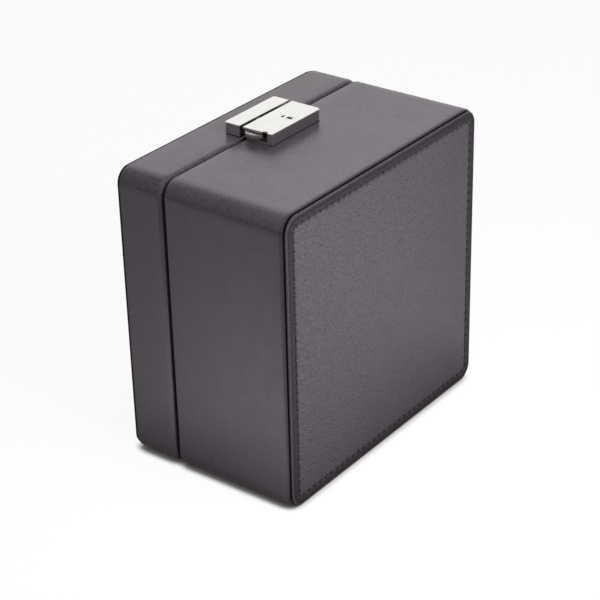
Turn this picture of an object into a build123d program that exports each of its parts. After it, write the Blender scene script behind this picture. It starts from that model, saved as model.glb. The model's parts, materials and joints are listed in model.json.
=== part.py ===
from build123d import *
import os

# Leather watch box, standing on its hinge side with the lock on top.
# Millimetres. X runs along the lock, Y from the stitched base face (-) to the lid face (+), Z up.
# The origin is under the middle of the closed box.

# Closed box without the lock
box_width = 160.0
box_height = 157.0
base_depth = 72.3
lid_depth = 28.7
corner_radius = 8.8
parting_gap = 1.4

# Wall layers, from the outside in
leather_thickness = 1.0
board_thickness = 4.5
lining_thickness = 1.0
inner_corner_radius = 3.0
rim_round = 2.3
seam_bevel = 0.7
lining_setback = 0.3

# Stitched face panels
panel_thickness = 2.0
panel_inset = 0.9
panel_round = 1.3

# Cell dividers and watch cushions
divider_thickness = 3.0
divider_depth = 46.0
halving_clearance = 0.1
cushion_depth = 44.0
cushion_height = 56.0
cushion_end_depth = 33.0
cushion_end_height = 43.0
cushion_hip = 4.0
cushion_hip_drop = 4.0
cushion_shoulder = 14.0
cushion_shoulder_drop = 1.0
cushion_roundness = 0.42
soft_clearance = 0.3

# Pad in the lid
pad_thickness = 9.0
pad_edge_thickness = 3.0
pad_margin = 1.0
pad_back_inset = 1.0
pad_shoulder_inset = 7.0
pad_crown = 1.0
pad_crown_inset = 21.0
pad_corner_radius = 7.0

# Lock outline on the top wall
lock_offset = 1.5
lock_length = 40.0
lock_width = 18.1
lock_height = 6.2
lock_setback = 0.3
lock_wall = 1.0
lock_corner_radius = 0.8
lock_inner_radius = 0.5
lock_far_corner_radius = 2.5
lock_edge_round = 0.4
lock_plate_thickness = 0.8
lock_plate_clearance = 0.1
lock_post_width = 3.0
lock_back_gap = 1.2
lock_foot_bevel = 0.3
back_wall_setback = 3.0
rail_width = 1.0
relief_radius = 1.6

# Hasp outline on the lid
hasp_width = 9.6
hasp_gap = 1.9
hasp_corner_radius = 1.6

# Thumb slide with its catch
slide_thickness = 2.8
slide_lift = 1.2
slide_travel = 2.5
tab_width = 10.6
tab_reach = 3.0
tab_bevel = 1.0
tab_groove_width = 0.5
tab_groove_depth = 0.3
tab_groove_length = 1.8
tab_groove_count = 4
slide_body_length = 9.0
slide_arm_length = 25.0
slide_arm_width = 3.8
catch_width = 2.4
working_clearance = 0.3

# Hook on the hasp plate
hook_width = 3.5
hook_barb = 2.2
hook_barb_length = 1.6
hook_thickness = 1.4
hook_riser = 1.2
hook_window_clearance = 0.45

# Latch spring
spring_strip_thickness = 0.3
spring_strip_width = 2.2
spring_stop_thickness = 1.2
spring_pressed_room = 5.5

# Key cylinder and cam
key_from_front = 5.6
key_from_middle = 1.4
key_radius = 2.2
key_flange_radius = 2.8
key_flange_thickness = 0.5
key_slot_length = 3.0
key_slot_width = 1.9
key_slot_depth = 2.2
cam_thickness = 1.2
cam_reach = 3.6
cam_width = 1.6
running_clearance = 0.05
mark_length = 2.8
mark_width = 1.2
mark_depth = 0.8
mark_from_key = 4.0

# Rivets of the lock and the hasp
rivet_radius = 1.0
rivet_head_radius = 1.2
rivet_head_height = 0.6
rivet_sink_depth = 0.8
rivet_inset = 2.5
rivet_end_inset = 5.0

# Butt hinges in the parting line
hinge_length = 30.0
hinge_from_side = 32.0
hinge_height = 1.8
knuckle_radius = 1.5
knuckle_clearance = 0.3
knuckle_gap = 0.2
pin_radius = 0.7
leaf_thickness = 0.6
leaf_margin = 0.2
screw_radius = 0.6
screw_head_radius = 0.95
screw_length = 6.0
screw_spacing = 20.0

# Places worked out from the sizes above
total_depth = base_depth + lid_depth
front_y = -total_depth / 2
back_y = total_depth / 2
parting_y = front_y + base_depth
middle_z = box_height / 2
base_seam_y = front_y + panel_thickness
base_rim_y = parting_y - parting_gap / 2
lid_seam_y = back_y - panel_thickness
lid_rim_y = parting_y + parting_gap / 2
wall_thickness = leather_thickness + board_thickness
cavity_width = box_width - 2 * wall_thickness
cavity_height = box_height - 2 * wall_thickness
base_floor_y = base_seam_y + board_thickness
lid_floor_y = lid_seam_y - board_thickness
tray_width = cavity_width - 2 * lining_thickness
tray_height = cavity_height - 2 * lining_thickness

lock_end_x = lock_offset - lock_length / 2
lock_far_x = lock_offset + lock_length / 2
lock_back_y = parting_y - lock_setback
lock_front_y = lock_back_y - lock_width
lock_middle_y = (lock_back_y + lock_front_y) / 2
lock_top_z = box_height + lock_height
plate_top_z = box_height + lock_plate_thickness
lock_roof_z = lock_top_z - lock_wall
hasp_front_y = lock_back_y + hasp_gap
hasp_middle_y = hasp_front_y + hasp_width / 2

tab_middle_y = lock_back_y - lock_back_gap - working_clearance - tab_width / 2
slide_bottom_z = plate_top_z + slide_lift
slide_top_z = slide_bottom_z + slide_thickness
arm_end_x = lock_end_x + slide_arm_length
arm_middle_y = tab_middle_y + working_clearance
arm_front_y = arm_middle_y - slide_arm_width / 2
arm_back_y = arm_middle_y + slide_arm_width / 2
spring_room = slide_travel + spring_pressed_room
spring_stop_x = arm_end_x + spring_room

key_x = lock_offset + key_from_middle
key_y = lock_front_y + key_from_front

hook_x = lock_offset - hook_width - hook_barb
hook_barb_x = hook_x + hook_width + hook_barb
catch_x = hook_barb_x + working_clearance
hook_tip_y = arm_back_y + working_clearance
hook_bottom_z = slide_bottom_z + (slide_thickness - hook_thickness) / 2
hook_top_z = hook_bottom_z + hook_thickness

hinge_xs = {"left": hinge_from_side - box_width / 2, "right": box_width / 2 - hinge_from_side}
leaf_top_z = leather_thickness + board_thickness + lining_thickness - leaf_margin
screw_z = (hinge_height + knuckle_radius + leaf_top_z) / 2

lock_rivet_places = [
    (lock_end_x + rivet_end_inset, lock_front_y + rivet_inset),
    (lock_far_x - rivet_end_inset, lock_front_y + rivet_inset),
    (lock_far_x - rivet_end_inset, lock_back_y - rivet_inset - lock_wall),
]
hasp_rivet_places = [
    (lock_end_x + rivet_end_inset, hasp_middle_y),
    (lock_far_x - rivet_end_inset, hasp_middle_y),
]

os.makedirs("parts", exist_ok=True)


def facing(y):
    """Sketch plane that faces the front of the box at depth y, centred on the box's height."""
    return Plane(origin=(0, y, middle_z), x_dir=(1, 0, 0), z_dir=(0, -1, 0))


def save(part, name):
    """Label a finished piece and write it as a STEP file."""
    part.label = name
    export_step(part, f"parts/{name}.step")


def end_face(builder, y):
    """The flat end face of a block at depth y."""
    return builder.faces().filter_by(Axis.Y).sort_by(lambda face: abs(face.center().Y - y))[0]


def make_board_block(seam_y, rim_y):
    """Solid outline of a carcass, from its panel seam to its rim under the leather."""
    inward = 1 if rim_y > seam_y else -1
    board_rim_y = rim_y - inward * leather_thickness
    with BuildPart() as block:
        with BuildSketch(facing(seam_y)):
            RectangleRounded(
                box_width - 2 * leather_thickness,
                box_height - 2 * leather_thickness,
                corner_radius - leather_thickness,
            )
        extrude(amount=seam_y - board_rim_y)
        chamfer(end_face(block, board_rim_y).edges(), length=rim_round - leather_thickness)
    return block.part


def make_hinge_recesses():
    """Round grooves that both halves leave for the hinge knuckles."""
    with BuildPart() as recesses:
        for hinge_x in hinge_xs.values():
            with BuildSketch(Plane.YZ.offset(hinge_x)):
                with Locations((parting_y, hinge_height)):
                    Circle(knuckle_radius + knuckle_clearance)
            extrude(amount=hinge_length / 2 + knuckle_clearance, both=True)
    return recesses.part


def make_screw_holes():
    """Pilot holes for the hinge screws, through both rims."""
    with BuildPart() as holes:
        with BuildSketch(Plane.XZ.offset(-parting_y)):
            for hinge_x in hinge_xs.values():
                with Locations((hinge_x, screw_z)):
                    with GridLocations(screw_spacing, 0, 2, 1):
                        Circle(screw_radius)
        extrude(amount=screw_length + parting_gap, both=True)
    return holes.part


def make_rivet_holes(places):
    """Rivet holes through the top wall, with a sink for the inner heads."""
    with BuildPart() as holes:
        with BuildSketch(Plane.XY.offset(box_height)):
            with Locations(*places):
                Circle(rivet_radius)
        extrude(amount=-wall_thickness)
        with BuildSketch(Plane.XY.offset(box_height - wall_thickness)):
            with Locations(*places):
                Circle(rivet_head_radius)
        extrude(amount=rivet_sink_depth)
    return holes.part


hinge_recesses = make_hinge_recesses()
screw_holes = make_screw_holes()


def make_carcass(seam_y, rim_y, floor_y, rivet_holes):
    """Board box of one half: four walls and a back board."""
    with BuildPart() as carcass:
        add(make_board_block(seam_y, rim_y))
        with BuildSketch(facing(floor_y)):
            RectangleRounded(cavity_width, cavity_height, inner_corner_radius)
        extrude(amount=floor_y - rim_y, mode=Mode.SUBTRACT)
        add(hinge_recesses, mode=Mode.SUBTRACT)
        add(screw_holes, mode=Mode.SUBTRACT)
        add(rivet_holes, mode=Mode.SUBTRACT)
    return carcass.part


def make_leather(seam_y, rim_y, rivet_holes):
    """Leather round the four walls, turned over the rim."""
    with BuildPart() as wrap:
        with BuildSketch(facing(seam_y)):
            RectangleRounded(box_width, box_height, corner_radius)
        extrude(amount=seam_y - rim_y)
        fillet(end_face(wrap, rim_y).edges(), radius=rim_round)
        chamfer(end_face(wrap, seam_y).edges(), length=seam_bevel)
        add(make_board_block(seam_y, rim_y), mode=Mode.SUBTRACT)
        with BuildSketch(facing(seam_y)):
            RectangleRounded(cavity_width, cavity_height, inner_corner_radius)
        extrude(amount=seam_y - rim_y, mode=Mode.SUBTRACT)
        add(hinge_recesses, mode=Mode.SUBTRACT)
        add(screw_holes, mode=Mode.SUBTRACT)
        add(rivet_holes, mode=Mode.SUBTRACT)
    return wrap.part


def make_panel_board(seam_y, face_y):
    """Stiff board under a stitched face panel."""
    inward = 1 if seam_y > face_y else -1
    board_face_y = face_y + inward * leather_thickness
    with BuildPart() as board:
        with BuildSketch(facing(seam_y)):
            RectangleRounded(
                box_width - 2 * (panel_inset + leather_thickness),
                box_height - 2 * (panel_inset + leather_thickness),
                corner_radius - panel_inset - leather_thickness,
            )
        extrude(amount=seam_y - board_face_y)
        chamfer(end_face(board, board_face_y).edges(), length=panel_round - leather_thickness)
    return board.part


def make_panel_leather(seam_y, face_y):
    """Leather drawn over the panel board and its edges."""
    with BuildPart() as cover:
        with BuildSketch(facing(seam_y)):
            RectangleRounded(
                box_width - 2 * panel_inset,
                box_height - 2 * panel_inset,
                corner_radius - panel_inset,
            )
        extrude(amount=seam_y - face_y)
        fillet(end_face(cover, face_y).edges(), radius=panel_round)
        add(make_panel_board(seam_y, face_y), mode=Mode.SUBTRACT)
    return cover.part


def make_lining(floor_y, rim_y):
    """Suede lining tray that fits the cavity of one half."""
    inward = 1 if rim_y > floor_y else -1
    edge_y = rim_y - inward * lining_setback
    tray_floor_y = floor_y + inward * lining_thickness
    with BuildPart() as tray:
        with BuildSketch(facing(floor_y)):
            RectangleRounded(cavity_width, cavity_height, inner_corner_radius)
        extrude(amount=floor_y - edge_y)
        with BuildSketch(facing(tray_floor_y)):
            RectangleRounded(tray_width, tray_height, inner_corner_radius - lining_thickness)
        extrude(amount=tray_floor_y - edge_y, mode=Mode.SUBTRACT)
    return tray.part


# Base half: carcass, leather, stitched panel and lining
lock_rivet_holes = make_rivet_holes(lock_rivet_places)
save(make_carcass(base_seam_y, base_rim_y, base_floor_y, lock_rivet_holes), "base_carcass")
save(make_leather(base_seam_y, base_rim_y, lock_rivet_holes), "base_leather")
save(make_panel_board(base_seam_y, front_y), "base_panel_board")
save(make_panel_leather(base_seam_y, front_y), "base_panel_leather")
save(make_lining(base_floor_y, base_rim_y), "base_lining")

# Lid half: the same layers, shallower
hasp_rivet_holes = make_rivet_holes(hasp_rivet_places)
save(make_carcass(lid_seam_y, lid_rim_y, lid_floor_y, hasp_rivet_holes), "lid_carcass")
save(make_leather(lid_seam_y, lid_rim_y, hasp_rivet_holes), "lid_leather")
save(make_panel_board(lid_seam_y, back_y), "lid_panel_board")
save(make_panel_leather(lid_seam_y, back_y), "lid_panel_leather")
save(make_lining(lid_floor_y, lid_rim_y), "lid_lining")

# Dividers: two boards halved into each other, which make four cells
tray_floor_y = base_floor_y + lining_thickness
divider_middle_y = tray_floor_y + divider_depth / 2
divider_top_y = tray_floor_y + divider_depth
halving_width = divider_thickness + 2 * halving_clearance

with BuildPart() as divider_upright:
    with BuildSketch(facing(tray_floor_y)):
        Rectangle(divider_thickness, tray_height)
    extrude(amount=-divider_depth)
    with BuildSketch(facing(divider_middle_y - halving_clearance)):
        Rectangle(halving_width, halving_width)
    extrude(amount=-divider_depth, mode=Mode.SUBTRACT)
save(divider_upright.part, "divider_upright")

with BuildPart() as divider_cross:
    with BuildSketch(facing(tray_floor_y)):
        Rectangle(tray_width, divider_thickness)
    extrude(amount=-divider_depth)
    with BuildSketch(facing(divider_middle_y)):
        Rectangle(halving_width, halving_width)
    extrude(amount=divider_depth, mode=Mode.SUBTRACT)
save(divider_cross.part, "divider_cross")

# Watch cushions: crowned rolls with drawn-in ends, one in each cell
cell_width = (tray_width - divider_thickness) / 2
cell_height = (tray_height - divider_thickness) / 2
cushion_length = cell_width - 2 * soft_clearance
cushion_middle_y = tray_floor_y + soft_clearance + cushion_depth / 2


def make_cushion(middle_x, cushion_z):
    """One watch cushion, lofted along X through its ends, hips, shoulders and crown."""
    half = cushion_length / 2
    stations = [
        (half, cushion_end_depth, cushion_end_height),
        (half - cushion_hip, cushion_depth - cushion_hip_drop, cushion_height - cushion_hip_drop),
        (
            half - cushion_shoulder,
            cushion_depth - cushion_shoulder_drop,
            cushion_height - cushion_shoulder_drop,
        ),
    ]
    rising = [(-along, depth, height) for along, depth, height in stations]
    stations = rising + [(0, cushion_depth, cushion_height)] + stations[::-1]
    with BuildPart() as cushion:
        for along, depth, height in stations:
            with BuildSketch(Plane.YZ.offset(middle_x + along)):
                with Locations((cushion_middle_y, cushion_z)):
                    RectangleRounded(depth, height, depth * cushion_roundness)
        loft(ruled=True)
    return cushion.part


cell_x = (cell_width + divider_thickness) / 2
cell_z = (cell_height + divider_thickness) / 2
for side, sign_x in {"left": -1, "right": 1}.items():
    for level, sign_z in {"lower": -1, "upper": 1}.items():
        roll = make_cushion(sign_x * cell_x, middle_z + sign_z * cell_z)
        save(roll, f"watch_cushion_{level}_{side}")

# Pad in the lid, crowned towards the watches
pad_back_y = lid_floor_y - lining_thickness - soft_clearance
pad_width = tray_width - 2 * pad_margin
pad_height = tray_height - 2 * pad_margin
with BuildPart() as lid_pad:
    pad_stations = [
        (0, pad_back_inset),
        (pad_edge_thickness, 0),
        (pad_thickness - 2 * pad_crown, pad_shoulder_inset / 2),
        (pad_thickness - pad_crown, pad_shoulder_inset),
        (pad_thickness, pad_crown_inset),
    ]
    for rise, inset in pad_stations:
        with BuildSketch(facing(pad_back_y - rise)):
            RectangleRounded(pad_width - 2 * inset, pad_height - 2 * inset, pad_corner_radius)
    loft(ruled=True)
save(lid_pad.part, "lid_pad")

# Lock base plate, with the bed and the rail of the slide and the stop of the spring
plate_length = lock_length - 2 * (lock_wall + lock_plate_clearance)
plate_width = lock_width - 2 * (lock_wall + lock_plate_clearance)
guide_x = lock_end_x + slide_body_length - rail_width
guide_length = slide_body_length / 2
rail_height = slide_lift + slide_thickness / 2
rail_y = tab_middle_y - tab_width / 2 - working_clearance - rail_width / 2
with BuildPart() as lock_base_plate:
    with BuildSketch(Plane.XY.offset(box_height)):
        with Locations((lock_offset, lock_middle_y)):
            RectangleRounded(plate_length, plate_width, lock_inner_radius)
        with Locations(*lock_rivet_places):
            Circle(rivet_radius, mode=Mode.SUBTRACT)
    extrude(amount=lock_plate_thickness)
    with BuildSketch(Plane.XY.offset(plate_top_z)):
        with Locations((spring_stop_x + spring_stop_thickness / 2, arm_middle_y)):
            Rectangle(spring_stop_thickness, slide_arm_width)
    extrude(amount=slide_lift + slide_thickness)
    with BuildSketch(Plane.XY.offset(plate_top_z)):
        with Locations((guide_x, tab_middle_y)):
            Rectangle(guide_length, tab_width)
    extrude(amount=slide_lift - working_clearance)
    with BuildSketch(Plane.XY.offset(plate_top_z)):
        with Locations((guide_x, rail_y)):
            Rectangle(guide_length, rail_width)
    extrude(amount=rail_height)
save(lock_base_plate.part, "lock_base_plate")

# Lock case: a drawn cover with the tab opening, the hook window and the key hole
with BuildPart() as lock_case:
    with BuildSketch(Plane.XY.offset(box_height)) as lock_outline:
        with Locations((lock_offset, lock_middle_y)):
            Rectangle(lock_length, lock_width)
        front_corners = lock_outline.vertices().group_by(Axis.Y)[0]
        back_corners = lock_outline.vertices().group_by(Axis.Y)[-1]
        fillet(front_corners.sort_by(Axis.X)[-1], radius=lock_far_corner_radius)
        fillet(back_corners + [front_corners.sort_by(Axis.X)[0]], radius=lock_corner_radius)
    extrude(amount=lock_height)
    fillet(lock_case.faces().sort_by(Axis.Z)[-1].edges(), radius=lock_edge_round)
    chamfer(lock_case.faces().sort_by(Axis.Z)[0].edges(), length=lock_foot_bevel)
    with BuildSketch(Plane.XY.offset(box_height)):
        with Locations((lock_offset, lock_middle_y)):
            RectangleRounded(
                lock_length - 2 * lock_wall,
                lock_width - 2 * lock_wall,
                lock_inner_radius,
            )
    extrude(amount=lock_height - lock_wall, mode=Mode.SUBTRACT)
    tab_opening_front_y = lock_front_y + lock_post_width
    with BuildSketch(Plane.XY.offset(box_height)):
        with Locations((lock_end_x, (tab_opening_front_y + lock_back_y) / 2)):
            Rectangle(2 * lock_wall, lock_back_y - tab_opening_front_y)
        with Locations((lock_end_x, lock_back_y)):
            Rectangle(2 * back_wall_setback, 2 * lock_wall)
    extrude(amount=lock_height - lock_wall, mode=Mode.SUBTRACT)
    with BuildSketch(Plane.XY.offset(plate_top_z)):
        with Locations((lock_end_x, tab_opening_front_y + relief_radius)):
            Circle(relief_radius)
    extrude(amount=lock_height, mode=Mode.SUBTRACT)
    with BuildSketch(Plane.XY.offset(hook_bottom_z - hook_window_clearance)):
        with Locations((hook_x + (hook_width + hook_barb) / 2, lock_back_y)):
            Rectangle(hook_width + hook_barb + 2 * working_clearance, 3 * lock_wall)
    extrude(amount=hook_thickness + 2 * hook_window_clearance, mode=Mode.SUBTRACT)
    with BuildSketch(Plane.XY.offset(lock_top_z)):
        with Locations((key_x, key_y)):
            Circle(key_radius + running_clearance)
    extrude(amount=-2 * lock_wall, mode=Mode.SUBTRACT)
    with BuildSketch(Plane.XY.offset(lock_top_z)):
        with Locations((key_x, key_y + mark_from_key)):
            SlotOverall(mark_length, mark_width)
    extrude(amount=-mark_depth, mode=Mode.SUBTRACT)
save(lock_case.part, "lock_case")

# Thumb slide: half-round tab, body, spring arm and catch, cut from one plate
with BuildPart() as thumb_slide:
    with BuildSketch(Plane.XY.offset(slide_bottom_z)):
        with BuildLine():
            tab_front_y = tab_middle_y - tab_width / 2
            tab_back_y = tab_middle_y + tab_width / 2
            body_end_x = lock_end_x + slide_body_length
            tab_arc = ThreePointArc(
                (lock_end_x, tab_back_y),
                (lock_end_x - tab_reach, tab_middle_y),
                (lock_end_x, tab_front_y),
            )
            Polyline(
                tab_arc @ 1,
                (body_end_x, tab_front_y),
                (body_end_x, arm_front_y),
                (arm_end_x, arm_front_y),
                (arm_end_x, arm_back_y),
                (body_end_x, arm_back_y),
                (body_end_x, tab_back_y),
                tab_arc @ 0,
            )
        make_face()
        with Locations((catch_x + catch_width / 2, arm_back_y)):
            catch_reach = lock_back_y - lock_wall - working_clearance - arm_back_y
            Rectangle(catch_width, 2 * catch_reach)
    extrude(amount=slide_thickness)
    lower_edges = thumb_slide.faces().sort_by(Axis.Z)[0].edges()
    chamfer(lower_edges.sort_by(Axis.X)[0], length=tab_bevel)
    groove_pitch = tab_width / (tab_groove_count + 1)
    with BuildSketch(Plane.XY.offset(slide_top_z)):
        with Locations((lock_end_x - tab_reach, tab_middle_y)):
            with GridLocations(0, groove_pitch, 1, tab_groove_count):
                Rectangle(2 * tab_groove_length, tab_groove_width)
    extrude(amount=-tab_groove_depth, mode=Mode.SUBTRACT)
save(thumb_slide.part, "thumb_slide")

# Latch spring: a strip bent round between the slide's arm and its stop
with BuildPart() as latch_spring:
    bend_radius = (spring_room - spring_strip_thickness) / 2 - running_clearance
    bend_middle = (arm_end_x + spring_room / 2, arm_middle_y)
    with BuildSketch(Plane.XY.offset(slide_bottom_z)):
        with BuildLine():
            outer_bend = CenterArc(bend_middle, bend_radius + spring_strip_thickness / 2, 0, 180)
            inner_bend = CenterArc(bend_middle, bend_radius - spring_strip_thickness / 2, 0, 180)
            Line(outer_bend @ 0, inner_bend @ 0)
            Line(outer_bend @ 1, inner_bend @ 1)
        make_face()
    extrude(amount=spring_strip_width)
save(latch_spring.part, "latch_spring")

# Key cylinder: barrel in the case's hole, a flange under the roof and the key slot
cylinder_bottom_z = slide_bottom_z + cam_thickness
with BuildPart() as key_cylinder:
    with BuildSketch(Plane.XY.offset(cylinder_bottom_z)):
        with Locations((key_x, key_y)):
            Circle(key_radius)
    extrude(amount=lock_top_z - cylinder_bottom_z)
    with BuildSketch(Plane.XY.offset(lock_roof_z - running_clearance)):
        with Locations((key_x, key_y)):
            Circle(key_flange_radius)
    extrude(amount=-key_flange_thickness)
    with BuildSketch(Plane.XY.offset(lock_top_z)):
        with Locations((key_x, key_y)):
            Rectangle(key_slot_width, key_slot_length)
    extrude(amount=-key_slot_depth, mode=Mode.SUBTRACT)
save(key_cylinder.part, "key_cylinder")

# Cam under the cylinder, which stands beside the slide's arm
with BuildPart() as key_cam:
    with BuildSketch(Plane.XY.offset(cylinder_bottom_z)):
        with Locations((key_x, key_y)):
            Circle(key_radius)
        with Locations((key_x + cam_reach / 2, key_y)):
            Rectangle(cam_reach, cam_width)
    extrude(amount=-cam_thickness)
save(key_cam.part, "key_cam")


def make_rivets(places, plate_thickness):
    """Rivets with one head on the lock's plate and one in the board's sink."""
    with BuildPart() as rivets:
        shank_bottom_z = box_height - wall_thickness
        with BuildSketch(Plane.XY.offset(shank_bottom_z)):
            with Locations(*places):
                Circle(rivet_radius)
        extrude(amount=wall_thickness + plate_thickness)
        with BuildSketch(Plane.XY.offset(shank_bottom_z)):
            with Locations(*places):
                Circle(rivet_head_radius)
        extrude(amount=rivet_head_height)
        with BuildSketch(Plane.XY.offset(box_height + plate_thickness)):
            with Locations(*places):
                Circle(rivet_head_radius)
        extrude(amount=rivet_head_height)
    return rivets.part


save(make_rivets(lock_rivet_places, lock_plate_thickness), "lock_rivets")
save(make_rivets(hasp_rivet_places, lock_plate_thickness), "hasp_rivets")

# Hasp bar on the lid: a drawn cover like the lock's, with a window for the hook
with BuildPart() as hasp_bar:
    with BuildSketch(Plane.XY.offset(box_height)):
        with Locations((lock_offset, hasp_middle_y)):
            Rectangle(lock_length, hasp_width)
    extrude(amount=lock_height)
    bar_edges = hasp_bar.edges().filter_by(Axis.Z)
    fillet(bar_edges.group_by(Axis.Y)[-1], radius=hasp_corner_radius)
    fillet(hasp_bar.faces().sort_by(Axis.Z)[-1].edges(), radius=lock_edge_round)
    chamfer(hasp_bar.faces().sort_by(Axis.Z)[0].edges(), length=lock_foot_bevel)
    with BuildSketch(Plane.XY.offset(box_height)):
        with Locations((lock_offset, hasp_middle_y)):
            RectangleRounded(
                lock_length - 2 * lock_wall,
                hasp_width - 2 * lock_wall,
                lock_inner_radius,
            )
    extrude(amount=lock_height - lock_wall, mode=Mode.SUBTRACT)
    with BuildSketch(Plane.XY.offset(hook_bottom_z - running_clearance)):
        with Locations((hook_x + hook_width / 2, hasp_front_y)):
            Rectangle(hook_width + 2 * running_clearance, 3 * lock_wall)
    extrude(amount=hook_thickness + 2 * running_clearance, mode=Mode.SUBTRACT)
save(hasp_bar.part, "hasp_bar")

# Hasp plate with its riser and barbed hook
riser_y = hasp_front_y + lock_wall + lock_plate_clearance
with BuildPart() as hasp_hook:
    with BuildSketch(Plane.XY.offset(box_height)):
        with Locations((lock_offset, hasp_middle_y)):
            RectangleRounded(
                plate_length,
                hasp_width - 2 * (lock_wall + lock_plate_clearance),
                lock_inner_radius,
            )
        with Locations(*hasp_rivet_places):
            Circle(rivet_radius, mode=Mode.SUBTRACT)
    extrude(amount=lock_plate_thickness)
    with BuildSketch(Plane.XY.offset(box_height)):
        with Locations((hook_x + hook_width / 2, riser_y + hook_riser / 2)):
            Rectangle(hook_width, hook_riser)
    extrude(amount=hook_top_z - box_height)
    with BuildSketch(Plane.XY.offset(hook_bottom_z)):
        with BuildLine():
            Polyline(
                (hook_x, riser_y + hook_riser),
                (hook_x, hook_tip_y),
                (hook_barb_x - hook_barb / 2, hook_tip_y),
                (hook_barb_x, hook_tip_y + hook_barb_length / 2),
                (hook_barb_x, hook_tip_y + hook_barb_length),
                (hook_x + hook_width, hook_tip_y + hook_barb_length),
                (hook_x + hook_width, riser_y + hook_riser),
                close=True,
            )
        make_face()
    extrude(amount=hook_thickness)
save(hasp_hook.part, "hasp_hook")

# Butt hinges: each has two knuckles on the base leaf and one on the lid leaf
knuckle_length = hinge_length / 3
leaf_height = leaf_top_z - hinge_height


def make_leaf(hinge_x, leaf_side, own_knuckles, other_knuckles):
    """One hinge leaf against a rim, with its own knuckles and room for the other leaf's."""
    rim_y = parting_y + leaf_side * parting_gap / 2
    leaf_middle_y = rim_y - leaf_side * leaf_thickness / 2
    with BuildPart() as leaf:
        with BuildSketch(Plane.XY.offset(hinge_height)):
            with Locations((hinge_x, leaf_middle_y)):
                Rectangle(hinge_length, leaf_thickness)
        extrude(amount=leaf_height)
        for knuckle in other_knuckles:
            with BuildSketch(Plane.YZ.offset(hinge_x + knuckle * knuckle_length)):
                with Locations((parting_y, hinge_height)):
                    Circle(knuckle_radius + knuckle_gap)
            extrude(amount=knuckle_length / 2 + knuckle_gap / 2, both=True, mode=Mode.SUBTRACT)
        for knuckle in own_knuckles:
            with BuildSketch(Plane.YZ.offset(hinge_x + knuckle * knuckle_length)):
                with Locations((parting_y, hinge_height)):
                    Circle(knuckle_radius)
            extrude(amount=knuckle_length / 2 - knuckle_gap / 2, both=True)
        with BuildSketch(Plane.YZ.offset(hinge_x)):
            with Locations((parting_y, hinge_height)):
                Circle(pin_radius + running_clearance)
        extrude(amount=hinge_length, both=True, mode=Mode.SUBTRACT)
        face_y = rim_y - leaf_side * leaf_thickness
        leaf_face = Plane(
            origin=(hinge_x, face_y, screw_z), x_dir=(1, 0, 0), z_dir=(0, -leaf_side, 0)
        )
        with Locations(leaf_face):
            with GridLocations(screw_spacing, 0, 2, 1):
                CounterSinkHole(screw_radius, screw_head_radius, depth=leaf_thickness)
    return leaf.part


def make_hinge_screws(leaf_side):
    """Countersunk screws of both hinges on one rim."""
    rim_y = parting_y + leaf_side * parting_gap / 2
    face_y = rim_y - leaf_side * leaf_thickness
    head_height = screw_head_radius - screw_radius
    with BuildPart() as screws:
        for hinge_x in hinge_xs.values():
            for along in (-screw_spacing / 2, screw_spacing / 2):
                outward = Plane(origin=(hinge_x + along, face_y, screw_z), z_dir=(0, leaf_side, 0))
                with BuildSketch(outward):
                    Circle(screw_radius)
                extrude(amount=screw_length)
                with BuildSketch(outward):
                    Circle(screw_head_radius)
                with BuildSketch(outward.offset(head_height)):
                    Circle(screw_radius)
                loft()
    return screws.part


for side, hinge_x in hinge_xs.items():
    save(make_leaf(hinge_x, -1, (-1, 1), (0,)), f"hinge_base_leaf_{side}")
    save(make_leaf(hinge_x, 1, (0,), (-1, 1)), f"hinge_lid_leaf_{side}")
    with BuildPart() as hinge_pin:
        with BuildSketch(Plane.YZ.offset(hinge_x)):
            with Locations((parting_y, hinge_height)):
                Circle(pin_radius)
        extrude(amount=hinge_length / 2, both=True)
    save(hinge_pin.part, f"hinge_pin_{side}")
save(make_hinge_screws(-1), "hinge_base_screws")
save(make_hinge_screws(1), "hinge_lid_screws")
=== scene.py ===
import json
import math

import bmesh
import bpy
import numpy as np
from mathutils import Matrix, Vector, noise


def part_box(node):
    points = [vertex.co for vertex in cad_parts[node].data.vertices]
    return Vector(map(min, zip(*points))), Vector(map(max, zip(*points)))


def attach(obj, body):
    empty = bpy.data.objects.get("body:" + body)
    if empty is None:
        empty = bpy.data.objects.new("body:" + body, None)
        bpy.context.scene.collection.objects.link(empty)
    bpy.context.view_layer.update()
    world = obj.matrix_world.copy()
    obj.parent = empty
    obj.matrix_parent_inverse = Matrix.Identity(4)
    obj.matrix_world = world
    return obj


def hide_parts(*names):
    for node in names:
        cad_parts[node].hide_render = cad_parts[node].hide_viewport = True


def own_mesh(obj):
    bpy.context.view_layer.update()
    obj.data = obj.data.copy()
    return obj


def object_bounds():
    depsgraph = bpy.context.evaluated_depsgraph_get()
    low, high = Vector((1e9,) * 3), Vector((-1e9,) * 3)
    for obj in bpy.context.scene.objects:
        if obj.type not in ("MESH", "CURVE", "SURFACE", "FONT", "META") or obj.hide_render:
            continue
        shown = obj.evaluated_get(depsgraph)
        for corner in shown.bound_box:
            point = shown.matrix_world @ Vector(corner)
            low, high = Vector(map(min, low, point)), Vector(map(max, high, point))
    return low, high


# Leather watch box on its hinge side. Metres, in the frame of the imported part:
# X along the lock, Y from the stitched base face (-) to the lid face (+), Z up.

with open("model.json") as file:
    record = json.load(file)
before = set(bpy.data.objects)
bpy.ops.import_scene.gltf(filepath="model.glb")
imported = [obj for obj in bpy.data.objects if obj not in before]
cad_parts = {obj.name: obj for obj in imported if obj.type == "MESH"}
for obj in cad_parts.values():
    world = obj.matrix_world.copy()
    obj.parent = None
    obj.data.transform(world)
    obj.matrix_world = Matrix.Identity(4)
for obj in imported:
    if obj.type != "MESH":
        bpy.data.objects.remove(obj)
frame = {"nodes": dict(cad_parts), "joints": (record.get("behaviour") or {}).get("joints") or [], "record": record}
cad_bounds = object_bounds()

MM = 0.001

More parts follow.
